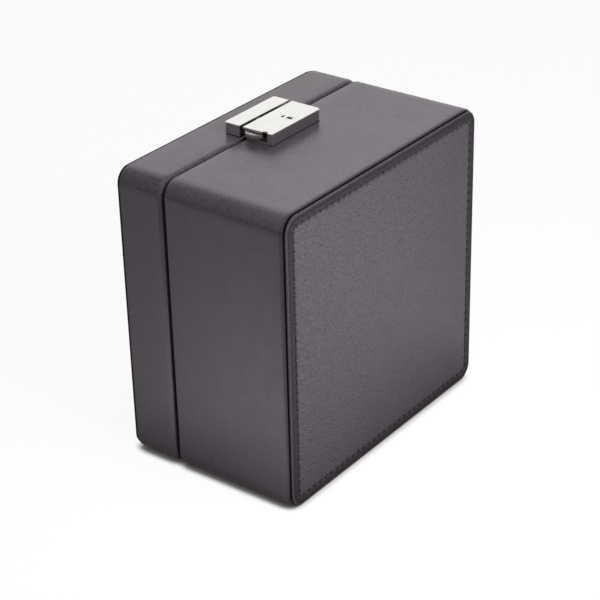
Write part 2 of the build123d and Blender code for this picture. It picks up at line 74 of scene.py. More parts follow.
# Camera fitted to the photograph, about the middle of the closed box
camera_azimuth = math.radians(-52.607)
camera_elevation = math.radians(28.305)
camera_roll = math.radians(-1.438)
camera_distance = 946.58 * MM
camera_right = -2.27 * MM
camera_up = -10.776 * MM
camera_target = Vector((0, 0, 78.4 * MM))
camera_lens = 112.13
camera_sensor = 36.0

# Sizes of the leather work that the frame's boxes don't tell
corner_radius = 8.8 * MM
leather_thickness = 1.0 * MM
board_thickness = 4.5 * MM
wall_thickness = leather_thickness + board_thickness
rim_round = 2.3 * MM
seam_round = 2.0 * MM
seam_fall = 0.95 * MM
seam_turn_in = 1.84 * MM
rim_inner_round = 0.4 * MM
seam_tuck = 0.04 * MM
wall_side_steps = 52
wall_corner_steps = 10
straight_step = 6 * MM
panel_inset = 0.9 * MM
panel_round = 0.8 * MM
panel_least_round = 0.5 * MM
panel_overhang = 0.95 * MM
wall_unevenness = 0.05 * MM
panel_unevenness = 0.07 * MM
unevenness_length = 26 * MM

# Stitching of the face panels, with the pressed band between it and the edge
stitch_inset = 5.15 * MM
stitch_pitch = 4.6 * MM
stitch_phases = (0, 0.08, 0.18, 0.34, 0.5, 0.66, 0.82, 0.92)
thread_radius = 0.3 * MM
thread_stations = 13
thread_sides = 8
thread_turns = 2.5
thread_start = 0.15
thread_span = 0.7
thread_drop = 1.1 * MM
thread_level = 0.45
thread_taper = 0.35
thread_lobe = 0.14
hole_depth = 0.8 * MM
hole_radius = 0.85 * MM
channel_depth = 0.16 * MM
channel_width = 0.9 * MM
band_fall = 0.5 * MM
edge_line = 0.8 * MM
# On the panel's rounded edge the band is lighter: a painted highlight line along the edge
band_at_painted_highlight = 0.3
band_fading = 0.35
# How far up the panel's shoulder the painted shade of the seam groove reaches, and how fast it fades
groove_top = 0.66
groove_fade = 12

# Rings of points on a panel's face, in millimetres from its edge or from the stitch line
border_rings = (1.2, 2.3, 3.1, 3.9)
line_rings = (-0.95, -0.6, -0.32, 0.0, 0.32, 0.6, 0.95)
settling_rings = (6.6, 7.3)
inner_rings = (8.2, 9.4)

# Hinge recesses in both rims
joints = {joint["name"]: joint for joint in frame["joints"]}
hinge_axis = Vector(joints["lid_hinge"]["pos_m"])
recess_radius = 1.8 * MM
recess_length = 30.6 * MM
recess_x = 48 * MM


def make_camera():
    """The photograph's viewpoint, with the box's middle as its target."""
    across = math.cos(camera_elevation)
    back = Vector(
        (
            math.sin(camera_azimuth) * across,
            -math.cos(camera_azimuth) * across,
            math.sin(camera_elevation),
        )
    )
    level_right = (-back).cross(Vector((0, 0, 1))).normalized()
    level_up = level_right.cross(-back)
    right = level_right * math.cos(camera_roll) + level_up * math.sin(camera_roll)
    up = level_up * math.cos(camera_roll) - level_right * math.sin(camera_roll)
    place = camera_target + back * camera_distance + right * camera_right + up * camera_up
    data = bpy.data.cameras.new("camera")
    data.lens = camera_lens
    data.sensor_width = camera_sensor
    camera = bpy.data.objects.new("camera", data)
    turned = Matrix((right, up, back)).transposed().to_4x4()
    camera.matrix_world = Matrix.Translation(place) @ turned
    bpy.context.scene.collection.objects.link(camera)
    bpy.context.scene.camera = camera


make_camera()


# Materials; the sizes of their patterns are in millimetres

white = (1.0, 1.0, 1.0)

# Leather
leather_color = (0.052, 0.041, 0.054)
leather_tint = (1.0, 0.93, 1.0, 1.0)
leather_draw = (0.7, 1.0, 1.0)
pebble_warp_size = 2.2
pore_size = 0.28
wrinkle_size = 1.1
cloud_size = 38.0
patch_size = 9.0
cloud_draw = 60.0
side_draw = -0.5
grain_strengths = (0.32, 1.75)
grain_reach = (0.0, 75.0)
wrinkle_share = 0.7
band_calm = 0.5
band_darkness = 0.9
pressed_matt = 0.35
hole_matt = 0.6
blotch_shades = (0.93, 1.07)
furrow_shade = 0.45
# Pressed band tone: partly darker pressed leather, partly painted shade
band_shade = 0.1
# Needle hole tone: painted shade
hole_painted_shade = 0.02
# Seam tone: black paint on the panel's cut edge, and painted shade in the seam groove
seam_shade = 0.05

# Suede
nap_size = 0.35
nap_depth = 0.12 * MM
tuft_size = 1.1
tuft_depth = 0.10 * MM
brushed_size = 14.0
brushed_draw = (1.0, 1.6, 0.7)

# Metal
tarnish_size = 5.0
hairline_size = 0.12
dark_shade = 0.03
painted_shade_blur = 0.12
pit_blur = 0.1

# Board and thread
board_draw = (1.0, 0.4, 1.0)
board_depth = 0.08 * MM
fibre_size = 0.09
fibre_depth = 0.02 * MM


def feed(tree, socket, value):
    """Gives an input a value, or the output that feeds it."""
    if isinstance(value, bpy.types.NodeSocket):
        tree.links.new(value, socket)
    else:
        socket.default_value = value


def add_node(tree, kind, inputs=None, **settings):
    """A shader node with its settings, its values and its links."""
    node = tree.nodes.new("ShaderNode" + kind)
    for key, value in settings.items():
        setattr(node, key, value)
    for key, value in (inputs or {}).items():
        feed(tree, node.inputs[key], value)
    return node


class Finish:
    """A node material, with short names for the nodes that it is made of."""

    def __init__(self, name, **surface_values):
        self.material = bpy.data.materials.new(name)
        self.material.use_nodes = True
        self.tree = self.material.node_tree
        self.tree.nodes.clear()
        self.surface = self.add("BsdfPrincipled", surface_values)
        self.output = self.add("OutputMaterial", {"Surface": self.surface.outputs["BSDF"]})
        place = self.add("TexCoord").outputs["Object"]
        scaled = self.add("VectorMath", {0: place, "Scale": 1 / MM}, operation="SCALE")
        self.millimetres = scaled.outputs["Vector"]

    def add(self, kind, inputs=None, **settings):
        return add_node(self.tree, kind, inputs, **settings)

    def math(self, operation, first, second):
        return self.add("Math", {0: first, 1: second}, operation=operation).outputs["Value"]

    def vector(self, operation, first, second=(0, 0, 0), result="Vector"):
        """Vector maths, whose result is a vector or, as a Value, a number."""
        inputs = {0: first, 1: second}
        return self.add("VectorMath", inputs, operation=operation).outputs[result]

    def noise(self, size, detail=2.0, roughness=0.5, vector=None):
        """Soft noise whose spots are about size millimetres wide."""
        inputs = {
            "Vector": vector or self.millimetres,
            "Scale": 1 / size,
            "Detail": detail,
            "Roughness": roughness,
        }
        return self.add("TexNoise", inputs).outputs["Fac"]

    def stretched(self, scales):
        """Object coordinates in millimetres, scaled along each axis."""
        return self.vector("MULTIPLY", self.millimetres, scales)

    def spread(self, value, low, high, from_low=0.3, from_high=0.7):
        """The value's middle range, laid out from low to high."""
        inputs = {
            "Value": value,
            "From Min": from_low,
            "From Max": from_high,
            "To Min": low,
            "To Max": high,
        }
        return self.add("MapRange", inputs).outputs["Result"]

    def mix(self, share, first, second):
        inputs = {"Factor": share, 6: first, 7: second}
        return self.add("Mix", inputs, data_type="RGBA").outputs[2]

    def bump(self, height, depth, under=None):
        """Bump of the given depth, on top of another bump's normal."""
        inputs = {"Height": height, "Distance": depth, "Strength": 1.0}
        if under is not None:
            inputs["Normal"] = under
        return self.add("Bump", inputs).outputs["Normal"]

    def finish(self, **links):
        for name, value in links.items():
            feed(self.tree, self.surface.inputs[name.replace("_", " ")], value)
        return self.material


def shade(color, factor):
    """The colour made darker or lighter, with its alpha."""
    return tuple(min(1.0, part * factor) for part in color) + (1.0,)


def make_leather(name, color, pebble_size, pebble_depth, pore_depth, roughness, specular):
    """Finished calf leather: pebbles, pores, faint drawn wrinkles and soft colour clouds."""
    finish = Finish(name, **{"Specular IOR Level": specular, "Specular Tint": leather_tint})
    drawn_out = finish.stretched(leather_draw)
    shifted = finish.vector("ADD", drawn_out, finish.noise(pebble_warp_size))
    pebble_inputs = {"Vector": shifted, "Scale": 1 / pebble_size, "Smoothness": 0.6}
    pebbles = finish.add("TexVoronoi", pebble_inputs, feature="SMOOTH_F1").outputs["Distance"]
    pores = finish.noise(pore_size, detail=3.0, roughness=0.6)
    wrinkles = finish.noise(wrinkle_size, detail=3.0, vector=drawn_out)
    clouds = finish.noise(cloud_size, detail=3.0)
    patches = finish.noise(patch_size)
    marks = {
        mark: finish.add("Attribute", attribute_name=mark).outputs["Fac"]
        for mark in ("band", "hole", "seam")
    }

    # Colour: blotches, darker furrows; painted shade on the pressed band, in the needle holes and in the seam
    blotches = finish.math("MULTIPLY", patches, 0.4)
    blotches = finish.math("ADD", blotches, finish.math("MULTIPLY", clouds, 0.6))
    blotches = finish.spread(blotches, 0.0, 1.0, 0.36, 0.64)
    base = finish.mix(blotches, *(shade(color, factor) for factor in blotch_shades))
    furrow = finish.spread(pebbles, 0.0, 0.75, 0.4, 0.75)
    base = finish.mix(furrow, base, shade(color, furrow_shade))
    # The pressed band: darker partly as pressed leather, partly as painted shade
    on_band = finish.math("MULTIPLY", marks["band"], band_darkness)
    base = finish.mix(on_band, base, shade(color, band_shade))
    # Painted shade in the needle holes
    base = finish.mix(marks["hole"], base, shade(color, hole_painted_shade))
    # Seam: the cut edge's black paint, and painted shade in the groove
    base = finish.mix(marks["seam"], base, shade(color, seam_shade))

    # Relief: the grain is stronger towards -X, and calmer on the pressed band
    across = finish.add("SeparateXYZ", {0: finish.millimetres}).outputs["X"]
    drawn = finish.math("MULTIPLY", across, side_draw)
    drawn = finish.math("ADD", finish.math("MULTIPLY", clouds, cloud_draw), drawn)
    grown = finish.spread(drawn, *grain_strengths, *grain_reach)
    calm = finish.math("SUBTRACT", 1.0, finish.math("MULTIPLY", marks["band"], band_calm))
    calm = finish.math("MULTIPLY", calm, grown)
    raised = finish.math("MULTIPLY", finish.math("SUBTRACT", 1.0, pebbles), calm)
    normal = finish.bump(raised, pebble_depth)
    folded = finish.math("MULTIPLY", wrinkles, calm)
    normal = finish.bump(folded, pebble_depth * wrinkle_share, normal)
    normal = finish.bump(pores, pore_depth, normal)

    # Gloss: patchy, and matt where the leather is pressed or pierced
    gloss = finish.spread(patches, roughness - 0.04, roughness + 0.05)
    matt = finish.math("MAXIMUM", marks["band"], marks["seam"])
    matt = finish.math("MULTIPLY", matt, pressed_matt)
    matt = finish.math("MAXIMUM", matt, finish.math("MULTIPLY", marks["hole"], hole_matt))
    gloss = finish.math("ADD", gloss, matt)
    return finish.finish(Base_Color=base, Roughness=gloss, Normal=normal)


def make_suede(name, color):
    """Suede cloth: a short nap that lies in brushed patches."""
    values = {"Sheen Weight": 0.35, "Sheen Roughness": 0.45, "Specular IOR Level": 0.15}
    finish = Finish(name, **values)
    nap = finish.noise(nap_size, detail=4.0, roughness=0.65)
    tufts = finish.noise(tuft_size)
    brushed = finish.noise(brushed_size, vector=finish.stretched(brushed_draw))
    brushed = finish.spread(brushed, 0.0, 1.0, 0.4, 0.6)
    base = finish.mix(brushed, shade(color, 0.8), shade(color, 1.25))
    base = finish.mix(finish.spread(nap, 0.0, 0.6), base, shade(color, 1.5))
    normal = finish.bump(tufts, tuft_depth)
    normal = finish.bump(nap, nap_depth, normal)
    fuzz = finish.spread(nap, 0.86, 1.0)
    return finish.finish(Base_Color=base, Roughness=fuzz, Normal=normal)


def make_metal(name, color, roughness, scratch_depth, grain=(1.0, 1.0, 1.0), painted_shade_below=None, pit=None):
    """Plated metal with hairlines and clouds; painted shade under its foot height, and dark in its pit.

    A pit is a place, its reach, and the height of its brim.
    """
    finish = Finish(name, **{"Metallic": 1.0})
    clouds = finish.noise(tarnish_size, detail=3.0)
    hairlines = finish.noise(hairline_size, vector=finish.stretched(grain))
    base = finish.mix(finish.spread(clouds, 0.0, 1.0), shade(color, 0.94), shade(color, 1.0))
    dark = shade(color, dark_shade)
    height = finish.add("SeparateXYZ", {0: finish.millimetres}).outputs["Z"]
    # Painted shade below the foot height, where the metal meets the leather or sits sunk in the case
    if painted_shade_below is not None:
        low = finish.spread(height, 1.0, 0.0, painted_shade_below - painted_shade_blur, painted_shade_below)
        base = finish.mix(low, base, dark)
    if pit is not None:
        place, radius, brim = pit
        away = finish.vector("DISTANCE", finish.millimetres, place, result="Value")
        near = finish.spread(away, 1.0, 0.0, radius - pit_blur, radius)
        deep = finish.spread(height, 1.0, 0.0, brim - pit_blur, brim)
        base = finish.mix(finish.math("MULTIPLY", near, deep), base, dark)
    gloss = finish.spread(clouds, roughness * 0.8, roughness * 1.25)
    normal = finish.bump(hairlines, scratch_depth)
    return finish.finish(Base_Color=base, Roughness=gloss, Normal=normal)


def make_board(name, color, size):
    """Pressed fibre board: matted fibres and dark specks."""
    finish = Finish(name)
    laid = finish.stretched(board_draw)
    fibres = finish.noise(size, detail=4.0, roughness=0.7, vector=laid)
    specks = finish.noise(size * 0.6, detail=1.0)
    base = finish.mix(finish.spread(fibres, 0.0, 1.0), shade(color, 0.75), shade(color, 1.15))
    base = finish.mix(finish.spread(specks, 0.0, 0.5, 0.66, 0.74), base, shade(color, 0.35))
    rough = finish.spread(fibres, 0.8, 0.95)
    normal = finish.bump(fibres, board_depth)
    return finish.finish(Base_Color=base, Roughness=rough, Normal=normal)


def make_thread(name, color):
    """Waxed sewing thread: fine fibres along a tight twist."""
    finish = Finish(name, **{"Sheen Weight": 0.1, "Specular IOR Level": 0.4})
    fibres = finish.noise(fibre_size)
    base = finish.mix(finish.spread(fibres, 0.0, 1.0), shade(color, 0.7), shade(color, 1.35))
    rough = finish.spread(fibres, 0.5, 0.7)
    normal = finish.bump(fibres, fibre_depth)
    return finish.finish(Base_Color=base, Roughness=rough, Normal=normal)


# Heights in millimetres: painted shade under the lock's foot and on the key below the case top; dark mark pit
lock_painted_shade_height = 157.5
key_painted_shade_height = 163.05
case_top_height = 163.08
mark_place = (2.9, 13.0, 162.4)
mark_reach = 2.0
drawn_along_x = (0.25, 1.0, 1.0)
finishes = {
    "wall_leather": make_leather(
        "wall_leather",
        leather_color,
        pebble_size=0.8,
        pebble_depth=0.012 * MM,
        pore_depth=0.006 * MM,
        roughness=0.28,
        specular=1.0,
    ),
    "panel_leather": make_leather(
        "panel_leather",
        leather_color,
        pebble_size=0.95,
        pebble_depth=0.26 * MM,
        pore_depth=0.035 * MM,
        roughness=0.38,
        specular=0.88,
    ),
    "carcass_board": make_board("carcass_board", (0.36, 0.25, 0.16), 0.9),
    "panel_board": make_board("panel_board", (0.42, 0.36, 0.29), 0.5),
    "lining_suede": make_suede("lining_suede", (0.055, 0.052, 0.055)),
    "divider_suede": make_suede("divider_suede", (0.06, 0.056, 0.06)),
    "cushion_suede": make_suede("cushion_suede", (0.07, 0.065, 0.07)),
    "pad_suede": make_suede("pad_suede", (0.065, 0.06, 0.065)),
    "lock_nickel": make_metal(
        "lock_nickel",
        (0.90, 0.885, 0.86),
        0.16,
        0.0012 * MM,
        grain=drawn_along_x,
        painted_shade_below=lock_painted_shade_height,
        pit=(mark_place, mark_reach, case_top_height),
    ),
    "lock_parts_steel": make_metal(
        "lock_parts_steel", (0.82, 0.80, 0.77), 0.32, 0.002 * MM, grain=(1.0, 0.25, 1.0)
    ),
    "key_steel": make_metal(
        "key_steel", (0.78, 0.76, 0.73), 0.22, 0.002 * MM, painted_shade_below=key_painted_shade_height
    ),
    "spring_steel": make_metal("spring_steel", (0.6, 0.6, 0.6), 0.25, 0.001 * MM),
    "fastener_steel": make_metal("fastener_steel", (0.72, 0.71, 0.69), 0.28, 0.002 * MM),
    "hinge_steel": make_metal(
        "hinge_steel", (0.74, 0.72, 0.69), 0.32, 0.003 * MM, grain=drawn_along_x
    ),
}
thread_finish = make_thread("stitching_thread", (0.036, 0.034, 0.038))


# Mesh work


def place_piece(piece, body, nodes, material):
    """Links a finished piece to its body, gives it its material and hides the CAD nodes it stands for."""
    piece.data.materials.clear()
    piece.data.materials.append(material)
    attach(piece, body)
    if nodes:
        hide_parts(*nodes)
    return piece


def new_piece(name, mesh):
    """An object for a mesh, linked into the scene."""
    piece = bpy.data.objects.new(name, mesh)
    bpy.context.scene.collection.objects.link(piece)
    return piece


# Directions (x, z) of a rounded rectangle's sides: out from the middle, and along each side
OUTWARD = np.array([(1, 0), (0, 1), (-1, 0), (0, -1)], float)
ALONG = np.array([(0, 1), (-1, 0), (0, -1), (1, 0)], float)


def even_places(side_steps, corner_steps):
    """Places round a rounded rectangle: rows of (side, on the corner or not, share, phase)."""
    rows = []
    for side in range(4):
        rows += [(side, 0, step / side_steps, 0) for step in range(side_steps)]
        rows += [(side, 1, step / corner_steps, 0) for step in range(corner_steps)]
    return np.array(rows, float)


def ring(half_width, half_height, radius, places):
    """Points (x, z) of a rounded rectangle at those places, and their outward directions."""
    side = places[:, 0].astype(int)
    share = places[:, 2:3]
    upright = (side % 2 == 0)[:, None]
    reach_out = np.where(upright, half_width, half_height)
    reach_along = np.where(upright, half_height, half_width)
    outward, along = OUTWARD[side], ALONG[side]
    turned = outward * np.cos(share * math.pi / 2) + along * np.sin(share * math.pi / 2)
    straight = outward * reach_out + along * (reach_along - radius) * (2 * share - 1)
    curved = outward * (reach_out - radius) + along * (reach_along - radius) + turned * radius
    on_corner = places[:, 1:2] > 0
    return np.where(on_corner, curved, straight), np.where(on_corner, turned, outward)


class Skin:
    """Collects rings of points and joins them into one mesh."""

    def __init__(self):
        self.points = []
        self.faces = []
        self.marks = {"band": [], "hole": [], "seam": []}

    def add(self, points, **marks):
        """Adds points with their marks, and gives their numbers."""
        start = len(self.points)
        self.points += [tuple(point) for point in points]
        for key, values in self.marks.items():
            mark = np.asarray(marks.get(key, 0.0), float)
            values += list(np.broadcast_to(mark, (len(points),)))
        return list(range(start, len(self.points)))

    def bridge(self, first, second):
        """Joins two closed rings with as many points, or with twice as many in one of them."""
        if len(first) < len(second):
            first, second = second, first
        count = len(second)
        for i in range(count):
            near, far = second[i], second[(i + 1) % count]
            if len(first) == count:
                self.faces.append((first[i], first[(i + 1) % count], far, near))
            else:
                start, middle, end = (first[(2 * i + k) % len(first)] for k in range(3))
                self.faces += [(start, middle, near), (middle, end, far), (near, middle, far)]

    def bridge_all(self, rings, closed=False):
        """Joins each ring to the next one, and the last to the first where they close."""
        following = rings[1:] + rings[:1] if closed else rings[1:]
        for first, second in zip(rings, following):
            self.bridge(first, second)

    def cap(self, first, last):
        """Closes both ends of a row of rings."""
        self.faces.append(tuple(first))
        self.faces.append(tuple(last))

    def build(self, name):
        """The mesh of all points and faces, as an object with smooth shading."""
        mesh = bpy.data.meshes.new(name)
        mesh.from_pydata(self.points, [], self.faces)
        for key, values in self.marks.items():
            layer = mesh.attributes.new(key, "FLOAT", "POINT")
            layer.data.foreach_set("value", np.array(values, np.float32))
        tidy = bmesh.new()
        tidy.from_mesh(mesh)
        bmesh.ops.recalc_face_normals(tidy, faces=tidy.faces)
        tidy.to_mesh(mesh)
        tidy.free()
        mesh.shade_smooth()
        return new_piece(name, mesh)


def unevenness(points, amount, seed):
    """Slow soft noise for each point, from -amount to amount."""
    shift = Vector((seed * 7.3, seed * 3.1, seed * 5.7))
    return np.array([amount * noise.noise(Vector(p) / unevenness_length + shift) for p in points])


def arc(center, radius, start, end, steps):
    """Points of an arc, angles in degrees."""
    angles = [math.radians(start + (end - start) * step / steps) for step in range(steps + 1)]
    return [(center[0] + radius * math.cos(a), center[1] + radius * math.sin(a)) for a in angles]


def cut_recesses(piece):
    """Round grooves for the hinge knuckles, cut out of a rim."""
    for sign in (-1, 1):
        cutter_mesh = bpy.data.meshes.new("cutter")
        cutter = bmesh.new()
        turned = Matrix.Rotation(math.radians(90), 4, "Y")
        place = Matrix.Translation((sign * recess_x, hinge_axis.y, hinge_axis.z)) @ turned
        bmesh.ops.create_cone(
            cutter,
            cap_ends=True,
            segments=32,
            radius1=recess_radius,
            radius2=recess_radius,
            depth=recess_length,
            matrix=place,
        )
        cutter.to_mesh(cutter_mesh)
        cutter.free()
        tool = new_piece("cutter", cutter_mesh)
        cut = piece.modifiers.new("recess", "BOOLEAN")
        cut.operation = "DIFFERENCE"
        cut.solver = "EXACT"
        cut.object = tool
        apply_modifiers(piece)
        bpy.data.objects.remove(tool)


def apply_modifiers(piece):
    """Replaces a piece's mesh with what its modifiers make of it."""
    depsgraph = bpy.context.evaluated_depsgraph_get()
    depsgraph.update()
    mesh = bpy.data.meshes.new_from_object(piece.evaluated_get(depsgraph))
    piece.modifiers.clear()
    piece.data = mesh


def make_wall_leather(node, body, seam_y, rim_y, seed):
    """Leather round the four walls of one half, turned over the rim."""
    low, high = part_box(node)
    half_width = (high.x - low.x) / 2
    half_height = (high.z - low.z) / 2
    middle_z = (high.z + low.z) / 2
    inward = 1 if rim_y > seam_y else -1
    length = abs(rim_y - seam_y)
    # The outline of the skin's section: inset from the outside, and depth from the seam
    outline = [(seam_turn_in, -seam_tuck)]
    for angle in (0, 12, 25, 40, 55, 70, 90):
        turn = math.radians(angle)
        outline.append((seam_fall * (1 - math.sin(turn)), seam_round * (1 - math.cos(turn))))
    straight_steps = max(4, round(length / straight_step))
    outline += [
        (0.0, seam_round + (length - seam_round - rim_round) * step / straight_steps)
        for step in range(1, straight_steps)
    ]
    inner_x = wall_thickness - rim_inner_round
    outline += arc((rim_round, length - rim_round), rim_round, 180, 90, 8)
    outline += [((rim_round + wall_thickness) / 2, length)]
    outline += arc((inner_x, length - rim_inner_round), rim_inner_round, 90, 0, 3)
    outline += [
        (wall_thickness, length - leather_thickness),
        (rim_round, length - leather_thickness),
        (leather_thickness, length - rim_round),
        (leather_thickness, 0.0),
    ]
    places = even_places(wall_side_steps, wall_corner_steps)
    skin = Skin()
    rings = []
    for inset, depth in outline:
        flat, outward = ring(
            half_width - inset,
            half_height - inset,
            max(corner_radius - inset, rim_round),
            places,
        )
        y = np.full(len(flat), seam_y + inward * depth)
        points = np.column_stack([flat[:, 0], y, flat[:, 1] + middle_z])
        if inset < leather_thickness:
            share = (1 - inset / leather_thickness) * min(1.0, depth / seam_round)
            push = unevenness(points, wall_unevenness, seed) * share
            points[:, 0] += outward[:, 0] * push
            points[:, 2] += outward[:, 1] * push
        # The skin's turn down into the seam groove is darker the deeper it lies: painted shade
        in_seam = depth < seam_round and inset < wall_thickness
        dark = math.sqrt(min(1.0, inset / seam_fall)) if in_seam else 0.0
        rings.append(skin.add(points, seam=dark))
    skin.bridge_all(rings, closed=True)
    piece = skin.build(node + "_skin")
    cut_recesses(piece)
    return place_piece(piece, body, [node], finishes["wall_leather"])


def stitch_counts(half_width, half_height):
    """How many stitches the upright and the level sides of the stitch line have."""
    corner = corner_radius - stitch_inset
    return [round(2 * (half - corner) / stitch_pitch) for half in (half_height, half_width)]


def stitch_places(counts, phases):
    """Places round the stitch line: each stitch has the same phases, and each corner one stitch."""
    rows = []
    for side in range(4):
        count = counts[side % 2]
        rows += [(side, 0, (i + phase) / count, phase) for i in range(count) for phase in phases]
        rows += [(side, 1, phase, phase) for phase in phases]
    return np.array(rows, float)


def panel_height(inset, hole_distance):
    """Height of a panel's leather over its flat middle, from the distance to its edge."""
    off_line = inset - stitch_inset
    band = -band_fall * np.clip(-off_line / stitch_inset, 0, 1) ** 2
    channel = -channel_depth * np.exp(-((off_line / channel_width) ** 2))
    reach = np.hypot(off_line, hole_distance)
    return band + channel - hole_depth * np.exp(-((reach / hole_radius) ** 2))


def panel_frame(node):
    """Half width, half height, middle height, seam and face of a panel, with its outward sign."""
    low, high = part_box(node)
    outward = -1 if low.y < 0 else 1
    face_y = low.y if outward < 0 else high.y
    seam_y = high.y if outward < 0 else low.y
    return (high.x - low.x) / 2, (high.z - low.z) / 2, (high.z + low.z) / 2, seam_y, face_y, outward


def make_panel_leather(node, body, seed):
    """Leather over a face panel, with the stitch line pressed in and its needle holes."""
    half_width, half_height, middle_z, seam_y, face_y, outward = panel_frame(node)
    thickness = abs(seam_y - face_y)
    edge_radius = corner_radius - panel_inset
    counts = stitch_counts(half_width - stitch_inset, half_height - stitch_inset)
    fine = stitch_places(counts, stitch_phases)
    middling = fine[::2]
    coarse = fine[::4]
    skin = Skin()

    def lay(inset, drop, places, on_face=False, seam=0.0):
        """One ring of the skin, drop below the face; on the face it takes the leather's relief."""
        flat, _ = ring(
            half_width - inset,
            half_height - inset,
            max(edge_radius - inset, panel_least_round),
            places,
        )
        height = np.full(len(flat), -drop)
        # The band mark darkens the pressed band, partly as pressed leather and partly as painted shade
        band = 1 - band_fading * (inset / stitch_inset) ** 2 if inset < stitch_inset else 0.0
        # The rounded edge takes less of the band's darkness: a painted highlight line
        if inset <= edge_line:
            band = band_at_painted_highlight
        hole = 0.0
        points = np.column_stack([flat[:, 0], np.full(len(flat), face_y), flat[:, 1] + middle_z])
        if on_face:
            phase = places[:, 3]
            hole_distance = np.minimum(phase, 1 - phase) * stitch_pitch
            height = height + panel_height(inset, hole_distance)
            height = height + unevenness(points, panel_unevenness, seed)
            reach = np.hypot(inset - stitch_inset, hole_distance)
            hole = np.exp(-((reach / hole_radius) ** 2))
        points[:, 1] += outward * height
        return skin.add(points, band=band, hole=hole, seam=seam)

    def in_groove(rise):
        """How much painted groove shade a point of the shoulder takes, by its height's share."""
        return min(1.0, max(0.0, 1 - (rise / thickness - groove_top) * groove_fade))

    inside = [
        lay(panel_round + leather_thickness, leather_thickness, coarse),
        lay(leather_thickness, panel_round, coarse),
        lay(leather_thickness, thickness, middling),
    ]
    # The edge hangs over a dark groove along the seam: its undercut gets the cut edge's black paint and painted
    # shade
    undercut = [(1.0, 0.0), (1.0, 0.2), (0.6, 0.3), (0.2, 0.4), (0.0, 0.5)]
    outer = [
        lay(panel_overhang * back, thickness - rise * thickness, fine, seam=1.0)
        for back, rise in undercut
    ]
    shoulder = arc((panel_round, thickness - panel_round), panel_round, 180, 96, 6)
    outer += [
        lay(inset, thickness - rise + band_fall * 0.6, fine, seam=in_groove(rise))
        for inset, rise in shoulder
    ]
    outer += [lay(inset * MM, 0.0, middling, True) for inset in border_rings]
    stitched = [lay(stitch_inset + offset * MM, 0.0, fine, True) for offset in line_rings]
    settling = [lay(inset * MM, 0.0, middling, True) for inset in settling_rings]
    inner = [lay(inset * MM, 0.0, coarse, True) for inset in inner_rings]
    skin.faces.append(tuple(reversed(inside[0])))
    skin.bridge_all(inside + outer + stitched + settling + inner)
    fill_grid(skin, inner[-1], counts, lambda spots: lay_middle(spots, face_y, outward, seed))
    piece = skin.build(node + "_skin")
    return place_piece(piece, body, [node], finishes["panel_leather"])


def lay_middle(spots, face_y, outward, seed):
    """Points of a panel's middle, with the leather's unevenness."""
    points = np.array([(x, face_y, z) for x, z in spots])
    points[:, 1] += outward * unevenness(points, panel_unevenness, seed)
    return points


def fill_grid(skin, border, counts, lay_spots):
    """Fills a ring of two steps a stitch with a grid, whose corners are the corners' middles."""
    upright_steps, level_steps = (2 * count + 2 for count in counts)
    # The ring starts at the right side's lower end, one step after that corner's middle
    turned = border[-1:] + border[:-1]
    right = turned[: upright_steps + 1]
    top = turned[upright_steps : upright_steps + level_steps + 1]
    left = turned[upright_steps + level_steps : 2 * upright_steps + level_steps + 1]
    bottom = turned[2 * upright_steps + level_steps :] + turned[:1]
    rows = [list(bottom)]
    xs = [skin.points[i][0] for i in bottom]
    for step in range(1, upright_steps):
        z = skin.points[right[step]][2]
        inner = skin.add(lay_spots([(x, z) for x in xs[1:-1]]))
        rows.append([left[upright_steps - step]] + inner + [right[step]])
    rows.append(list(reversed(top)))
    for below, above in zip(rows, rows[1:]):
        for i in range(level_steps):
            skin.faces.append((below[i], below[i + 1], above[i + 1], above[i]))


def make_stitching(node, body):
    """Two-ply thread of the panel's stitches, each one dipping into its needle holes."""
    half_width, half_height, middle_z, _, face_y, outward = panel_frame(node)
    counts = stitch_counts(half_width - stitch_inset, half_height - stitch_inset)
    steps = thread_stations - 1
    phases = [thread_start + thread_span * i / steps for i in range(thread_stations)]
    places = stitch_places(counts, phases)
    flat, sideways = ring(
        half_width - stitch_inset,
        half_height - stitch_inset,
        corner_radius - panel_inset - stitch_inset,
        places,
    )
    skin = Skin()
    phase = places[:, 3]
    reach = np.abs(2 * phase - 1) / thread_span
    dip = thread_drop * np.clip(reach - thread_level, 0, 1) ** 2 * 4
    rise = -channel_depth + thread_radius * 0.8 - dip
    thin = 1 - thread_taper * reach**4
    for start in range(0, len(places), thread_stations):
        rings = []
        for i in range(start, start + thread_stations):
            center = Vector((flat[i, 0], face_y + outward * rise[i], flat[i, 1] + middle_z))
            side = Vector((sideways[i, 0], 0, sideways[i, 1]))
            up = Vector((0, outward, 0))
            twist = phase[i] * 2 * math.pi * thread_turns
            loop = []
            for k in range(thread_sides):
                angle = 2 * math.pi * k / thread_sides
                lobe = 1 - thread_lobe + thread_lobe * math.cos(2 * (angle - twist))
                radius = thread_radius * thin[i] * lobe
                loop.append(center + (side * math.cos(angle) + up * math.sin(angle)) * radius)
            rings.append(skin.add(loop))
        skin.bridge_all(rings)
        skin.cap(rings[0], rings[-1])
    piece = skin.build(node.replace("leather", "stitching"))
    return place_piece(piece, body, [], thread_finish)


base_low, base_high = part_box("base_leather")
lid_low, lid_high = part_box("lid_leather")
make_wall_leather("base_leather", "base", base_low.y, base_high.y, 1)
make_wall_leather("lid_leather", "lid", lid_high.y, lid_low.y, 2)
make_panel_leather("base_panel_leather", "base", 3)
make_panel_leather("lid_panel_leather", "lid", 4)
make_stitching("base_panel_leather", "base")
make_stitching("lid_panel_leather", "lid")


# Cushions and lid pad

